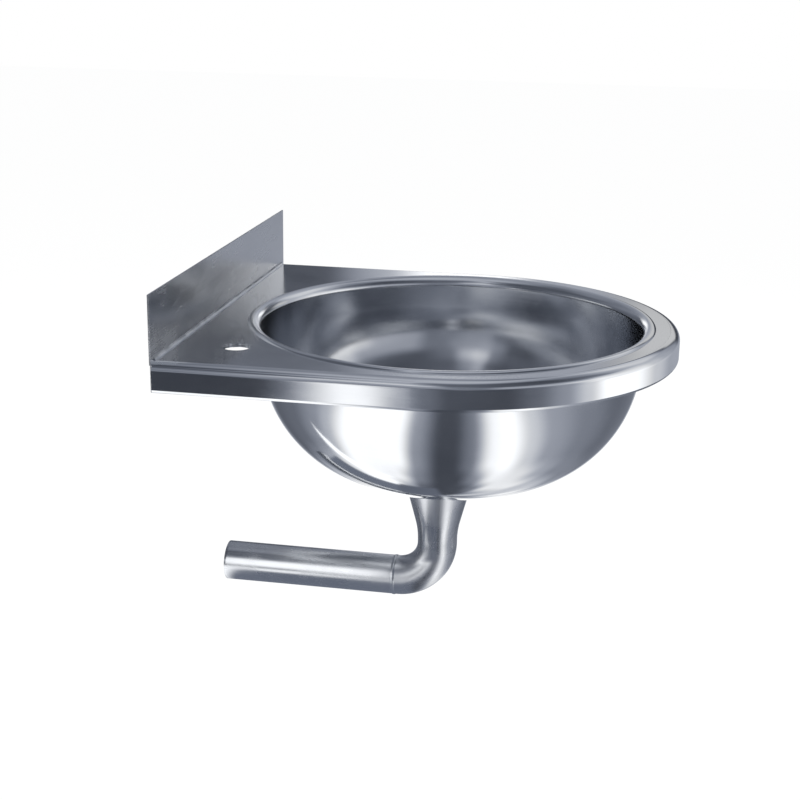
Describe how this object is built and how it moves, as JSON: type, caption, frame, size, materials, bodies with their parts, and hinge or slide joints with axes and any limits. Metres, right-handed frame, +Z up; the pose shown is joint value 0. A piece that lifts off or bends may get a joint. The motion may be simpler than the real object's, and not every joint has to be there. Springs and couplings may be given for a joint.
{
  "type": "wall-hung hand wash basin",
  "caption": "Wall-hung stainless steel hand wash basin with a round front, deep drawn bowl, low upstand, side tap hole and a fixed waste pipe bent to the wall.",
  "frame": {"origin": "on the wall face of the back plate, on the basin's middle line, level with the top of the deck", "axes": "+Y into the wall, so the basin reaches out along -Y; +X to the right for someone who faces the wall; +Z up"},
  "size_m": [0.44, 0.4499, 0.3536],
  "materials": {
    "sheet": "satin polished",
    "pipe": "brushed",
    "weld": "dressed weld",
    "fastener": "bright"
  },
  "bodies": {
    "basin": {"deck_plate": "sheet", "apron_band": "sheet", "back_plate": "sheet", "upstand_weld": "weld", "bowl": "sheet", "bowl_weld": "weld", "waste_bend": "pipe", "bell_weld": "weld", "waste_pipe": "pipe", "pipe_weld": "weld", "tap_hole_stiffener": "sheet", "left_wall_bracket": "sheet", "right_wall_bracket": "sheet", "earth_tag": "sheet", "earth_bolt": "fastener", "earth_nut": "fastener", "earth_washers": "fastener"},
    "strainer": {"strainer_plate": "sheet", "strainer_knob": "sheet"}
  },
  "joints": [
    {"name": "strainer_lift", "type": "slide", "parent": "basin", "child": "strainer", "axis": [0, 0, 1], "range_m": [0, 0.2]}
  ]
}
